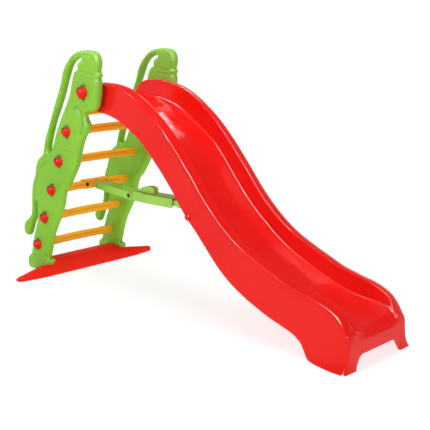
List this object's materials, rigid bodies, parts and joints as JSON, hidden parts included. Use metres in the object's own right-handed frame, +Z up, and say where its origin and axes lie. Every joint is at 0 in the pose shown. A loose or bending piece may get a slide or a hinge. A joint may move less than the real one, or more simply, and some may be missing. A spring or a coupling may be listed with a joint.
{
  "type": "children's slide",
  "caption": "Folding garden slide: wavy moulded chute hung between two ladder side panels with rungs, handrail slots, a floor bar and a folding strut.",
  "frame": {"origin": "centre of the object's footprint at floor level", "axes": "+X from the ladder towards the chute's exit, +Y across the chute, +Z up; symmetric about the XZ plane"},
  "size_m": [2.2196, 0.924, 1.226],
  "materials": {
    "red_plastic": "glossy moulded polyethylene",
    "lime_green_plastic": "semi-gloss moulded polyethylene",
    "orange_plastic": "semi-gloss moulded polyethylene",
    "leaf_green_plastic": "semi-gloss",
    "zinc_plated_steel": "zinc plated"
  },
  "bodies": {
    "chute_body": {"chute": "red_plastic", "cross_pin": "zinc_plated_steel", "cross_pin_cap_left": "red_plastic", "cross_pin_cap_right": "red_plastic"},
    "ladder": {"side_panel_left": "lime_green_plastic", "side_panel_right": "lime_green_plastic", "rung_1": "orange_plastic", "rung_2": "orange_plastic", "rung_3": "orange_plastic", "rung_4": "orange_plastic", "rung_5": "orange_plastic", "top_tie_bar": "orange_plastic", "base_bar": "red_plastic", "rung_cap_left_1": "red_plastic", "rung_cap_left_2": "red_plastic", "rung_cap_left_3": "red_plastic", "rung_cap_left_4": "red_plastic", "rung_cap_left_5": "red_plastic", "rung_cap_right_1": "red_plastic", "rung_cap_right_2": "red_plastic", "rung_cap_right_3": "red_plastic", "rung_cap_right_4": "red_plastic", "rung_cap_right_5": "red_plastic", "pivot_cap_left": "red_plastic", "pivot_cap_right": "red_plastic", "cap_leaves": "leaf_green_plastic", "rung_screws": "zinc_plated_steel", "pivot_bolts": "zinc_plated_steel", "pivot_nuts": "zinc_plated_steel", "base_screws": "zinc_plated_steel", "strut_bracket": "orange_plastic", "bracket_screws": "zinc_plated_steel", "strut_hinge_pin": "zinc_plated_steel"},
    "strut_front_link": {"long_strut": "lime_green_plastic", "strut_yoke": "lime_green_plastic", "yoke_screws": "zinc_plated_steel"},
    "strut_rear_link": {"short_strut": "lime_green_plastic", "elbow_screws": "zinc_plated_steel"},
    "catch": {"strut_catch": "lime_green_plastic"}
  },
  "joints": [
    {"name": "ladder_fold", "type": "hinge", "parent": "chute_body", "child": "ladder", "pos_m": [-0.4855, 0, 1.021], "axis": [0, -1, 0], "range_deg": [0, 38]},
    {"name": "front_link_hinge", "type": "hinge", "parent": "chute_body", "child": "strut_front_link", "pos_m": [0.1865, 0, 0.49], "axis": [0, 1, 0], "range_deg": [0, 23]},
    {"name": "rear_link_hinge", "type": "hinge", "parent": "ladder", "child": "strut_rear_link", "pos_m": [-0.7235, 0, 0.492], "axis": [0, -1, 0], "range_deg": [0, 69]},
    {"name": "catch_slide", "type": "slide", "parent": "strut_front_link", "child": "catch", "axis": [0.9997, 0, 0.0251], "range_m": [0, 0.012], "stiffness_N_per_m": 200}
  ],
  "couplings": [
    {"joint": "front_link_hinge", "follows": "ladder_fold", "ratio": 0.6026},
    {"joint": "rear_link_hinge", "follows": "ladder_fold", "ratio": 1.8032}
  ]
}
